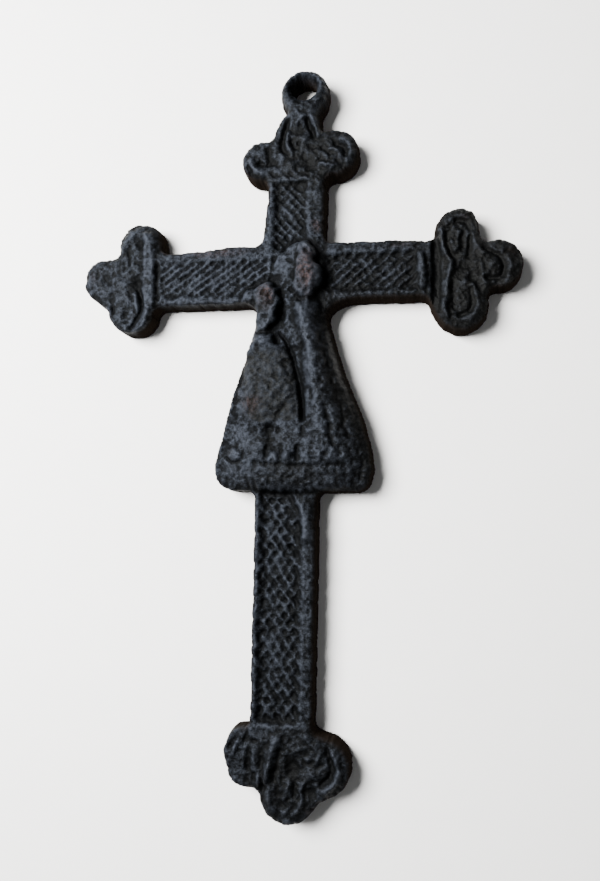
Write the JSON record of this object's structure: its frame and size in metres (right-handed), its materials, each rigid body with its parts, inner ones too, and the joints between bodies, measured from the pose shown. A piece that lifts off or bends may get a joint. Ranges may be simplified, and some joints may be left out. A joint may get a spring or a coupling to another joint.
{
  "type": "pilgrim cross",
  "caption": "Small cast iron pilgrim cross with trefoil ends, latticed panels between raised rails, a robed mother and child in relief over the crossing, and a hanging eyelet",
  "frame": {"origin": "middle of the footprint of the cross, on its flat back", "axes": "+Y along the long limb towards the eyelet, +X towards the right arm as seen from the front, +Z out of the front"},
  "size_m": [0.055, 0.0912, 0.0057],
  "materials": {
    "cast_metal": "dark worn patina, blue-grey on raised places, rust-brown patches"
  },
  "bodies": {
    "root": {"pilgrim_cross": "cast_metal"}
  },
  "joints": []
}
